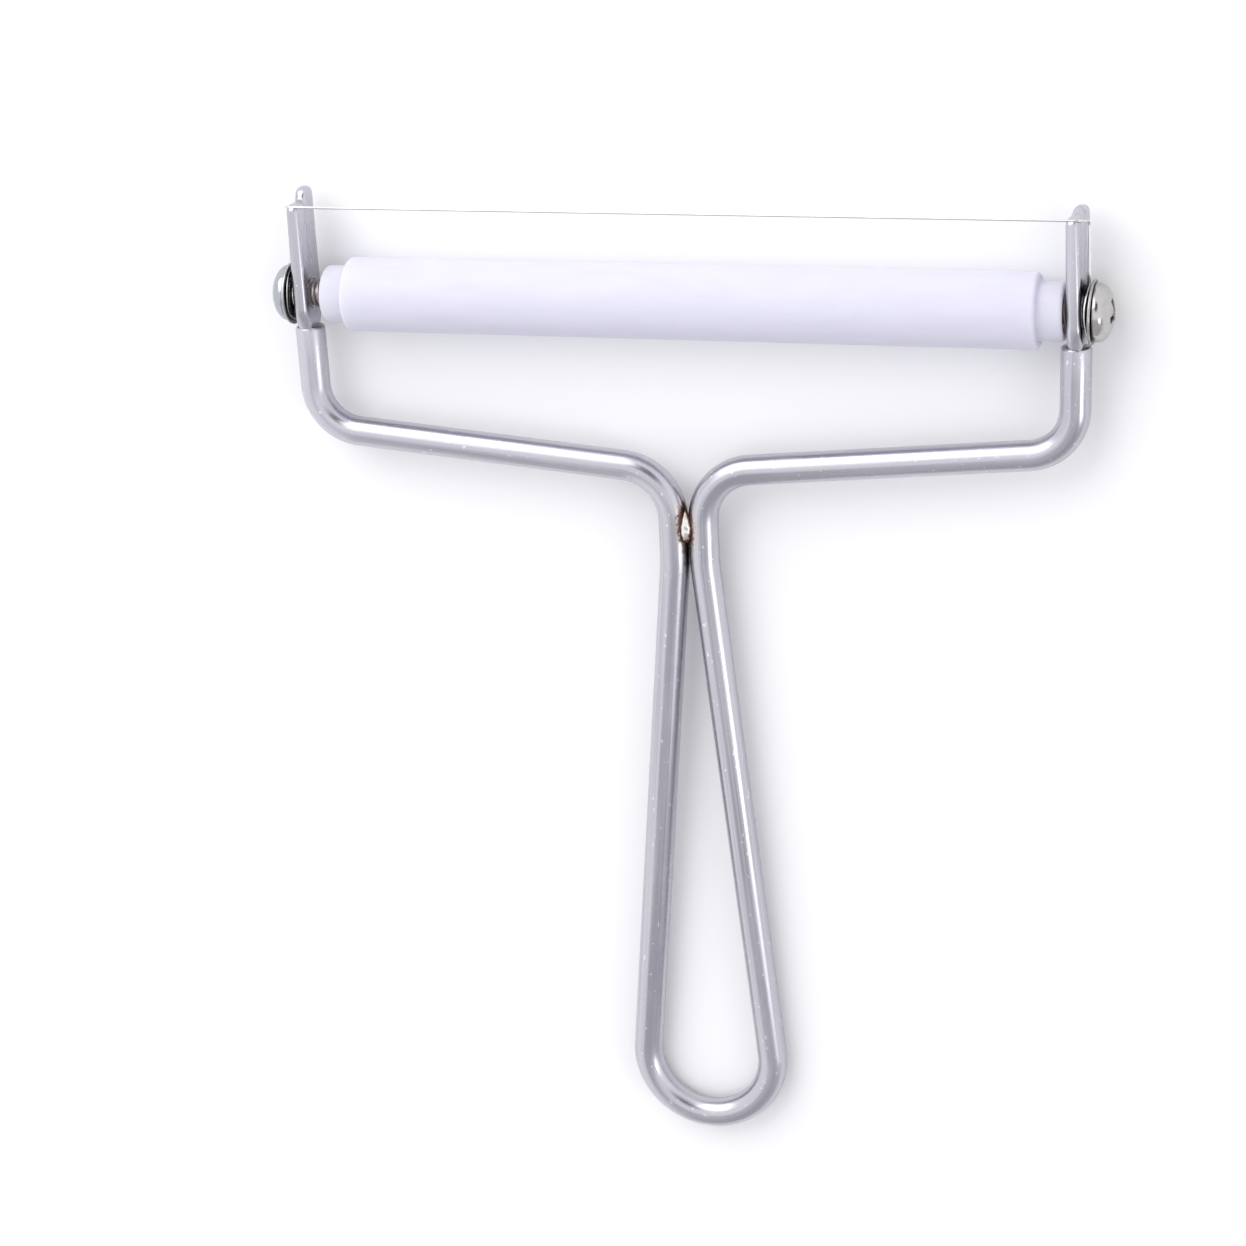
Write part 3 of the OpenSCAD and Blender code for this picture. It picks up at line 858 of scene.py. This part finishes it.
def shade_washer_faces(finish, tone, outer_r):
    """Paints shade on a washer's faces, in the gap between head and tip, and leaves its outer edge bright.
    """
    inner = finish.ranged(finish.from_axis(), outer_r - 0.12 * MM, outer_r - 0.5 * MM, 0.0, 0.9)
    # Painted shade: the washer's faces inside its outer edge are painted nearly black.
    return finish.mixed(inner, tone, (0.055, 0.05, 0.05))


def washer_steel():
    plate = Finish("plain_washer_steel", (0.46, 0.46, 0.47), 1.0, 0.34)
    place = plate.place()
    blotches = plate.noise(plate.stretched(place, (600, 600, 600)), 4.0, 0.65)
    grain = plate.noise(plate.stretched(place, (3500, 3500, 3500)), 2.0)
    tone = plate.mixed(plate.ranged(blotches, 0.35, 0.7, 0.0, 1.0),
                       (0.52, 0.52, 0.53), (0.36, 0.34, 0.33))
    tone = shade_washer_faces(plate, tone, FLAT_R)
    plate.wear(tone, plate.ranged(blotches, 0.3, 0.75, 0.24, 0.46), plate.bump(grain, 0.12, 0.012))
    return plate.material


def spring_steel():
    spring = Finish("bright_spring_steel", (0.70, 0.69, 0.68), 1.0, 0.2)
    rolled = spring.noise(spring.stretched(spring.place(), (1200, 300, 4200)), 3.0, 0.6)
    tone = spring.mixed(spring.ranged(rolled, 0.3, 0.7, 0.0, 1.0),
                        (0.76, 0.75, 0.74), (0.64, 0.62, 0.60))
    tone = shade_washer_faces(spring, tone, WAVE_R)
    spring.wear(tone, spring.ranged(rolled, 0.3, 0.7, 0.16, 0.28), spring.bump(rolled, 0.1, 0.01))
    return spring.material


def ring_blank(outer_r, thickness, rolled_edge):
    half = thickness / 2
    profile = [(-half, HOLE_R), (-half, outer_r), (half, outer_r), (half, HOLE_R), (-half, HOLE_R)]
    return turned(profile, 96, [(1, rolled_edge * 0.4), (2, rolled_edge)])


def flat_washer(node, lean):
    low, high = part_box(node)
    bm = ring_blank(FLAT_R / MM, FLAT_T, 0.14)
    middle = (abs(low.x + high.x) / 2, 0, 0)
    bm.transform(Matrix.Translation(middle) @ Matrix.Rotation(-math.radians(lean), 4, "Z"))
    return bm


def wave_washer(node):
    low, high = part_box(node)
    bm = ring_blank(WAVE_R / MM, WAVE_T, 0.05)
    travel = (high.x - low.x) - WAVE_T * MM
    for vert in bm.verts:
        vert.co.x += travel / 2 * math.sin(WAVES * math.atan2(vert.co.z, vert.co.y) + FIRST_WAVE)
    bmesh.ops.translate(bm, vec=(abs(low.x + high.x) / 2, 0, 0), verts=bm.verts)
    return bm


washer_finish, spring_finish = washer_steel(), spring_steel()
for hand, lean in (("left", 0), ("right", RIGHT_LEAN)):
    flat_node, wave_node = hand + "_flat_washer", hand + "_wave_washer"
    for kind, node, ring_bm, finish in (("flat", flat_node, flat_washer(flat_node, lean), washer_finish),
                                        ("wave", wave_node, wave_washer(wave_node), spring_finish)):
        if hand == "left":
            ring_bm.transform(Matrix.Scale(-1, 4, (1, 0, 0)))
        finish_piece(ring_bm, f"{hand}_{kind}_ring", finish, "frame", node)

# %% [markdown]
# ## The cutting wire
#
# The wire is hard-drawn and pulled tight. It crosses in front of the roller, turns over the notch in each
# ledge, comes back down the tip's outer face and goes round the screw, where the washers trap it. The
# bending machine makes this too: feed, roll, bend. One half is bent and mirrored.

# %% Bend the wire
def bright_wire():
    wire = Finish("hard_drawn_wire", (0.72, 0.71, 0.71), 1.0, 0.18)
    lines = wire.noise(wire.stretched(wire.bar_line(), (9000, 9000, 160)), 2.0)
    tone = wire.mixed(wire.ranged(lines, 0.3, 0.7, 0.0, 1.0), (0.78, 0.77, 0.77), (0.60, 0.59, 0.59))
    wire.wear(tone, wire.ranged(lines, 0.3, 0.7, 0.14, 0.26), wire.bump(lines, 0.15, 0.006))
    return wire.material


def slicing_wire():
    bm = bmesh.new()
    over_r, back_r = RIM_R + WIRE_R, 0.9 * MM
    outside = POST_X + TIP_T / 2 + WIRE_R + 0.02 * MM
    screw_loop = THREAD_R + WIRE_R + 0.05 * MM
    back_y = WIRE_Y - 1.3 * MM
    bar = start_bar(bm, WIRE_R, 14, Matrix.Translation((0, WIRE_Y, WIRE_Z)))
    feed(bar, outside - over_r, 12)
    down_face = Vector((0, back_y - WIRE_Y, -screw_loop - WIRE_Z))
    roll_to(bar, down_face)
    bend(bar, over_r, 90, 8)
    corner_turn = down_face.angle(Vector((0, -1, 0)))
    feed(bar, down_face.length - over_r - share(back_r, corner_turn), 3)
    roll_to(bar, Vector((0, -1, 0)))
    bend(bar, back_r, math.degrees(corner_turn), 8)
    feed(bar, back_y - share(back_r, corner_turn), 4)
    roll_to(bar, Vector((0, 0, 1)))
    bend(bar, screw_loop, 255, 40)
    close_end(bar)
    bmesh.ops.mirror(bm, geom=bm.verts[:] + bm.edges[:] + bm.faces[:], axis="X", merge_dist=0.001 * MM,
                     matrix=Matrix.Identity(4), mirror_u=False, mirror_v=False)
    return bm


finish_piece(slicing_wire(), "slicing_wire", bright_wire(), "frame", "cutting_wire",
             crease=60)
